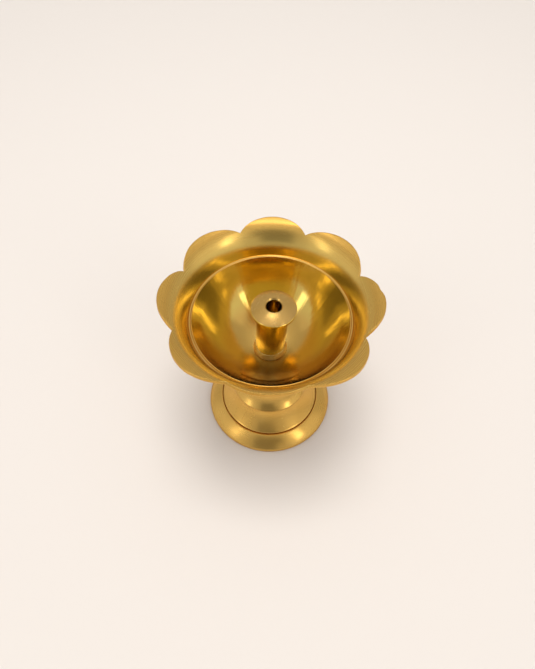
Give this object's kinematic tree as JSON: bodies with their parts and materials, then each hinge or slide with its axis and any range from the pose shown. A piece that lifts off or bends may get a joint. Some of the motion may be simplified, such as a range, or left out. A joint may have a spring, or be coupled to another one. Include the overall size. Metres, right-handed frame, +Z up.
{
  "type": "oil lamp",
  "caption": "Brass diya: petal-edged oil bowl on a stepped trumpet foot, with a drilled wick post that unscrews from the stud holding the lamp together.",
  "frame": {"origin": "on the lamp's axis, on the table under the foot", "axes": "+Z up along the lamp's axis; a petal's middle points along each of +X, -X, +Y and -Y; the feed hole is on the +Y side"},
  "size_m": [0.0738, 0.0738, 0.0682],
  "materials": {
    "turned_brass": "satin, turned",
    "polished_brass": "polished inside, satin petals",
    "collar_brass": "rough, pale",
    "post_brass": "faced head, polished post",
    "fastener_brass": "plain machined"
  },
  "bodies": {
    "lamp_body": {"pedestal": "turned_brass", "flower_bowl": "polished_brass", "centre_stud": "fastener_brass", "stud_washer": "fastener_brass", "stud_nut": "fastener_brass"},
    "collar": {"sealing_collar": "collar_brass"},
    "wick_post": {"wick_holder": "post_brass"}
  },
  "joints": [
    {"name": "wick_post_lift", "type": "slide", "parent": "lamp_body", "child": "collar", "axis": [0, 0, 1], "range_m": [0, 0.004]},
    {"name": "wick_post_turn", "type": "hinge", "parent": "collar", "child": "wick_post", "pos_m": [0, 0, 0.0416], "axis": [0, 0, 1], "range_deg": [0, 1440]}
  ],
  "couplings": [
    {"joint": "wick_post_lift", "follows": "wick_post_turn", "m_per_rad": 0.00015915}
  ]
}
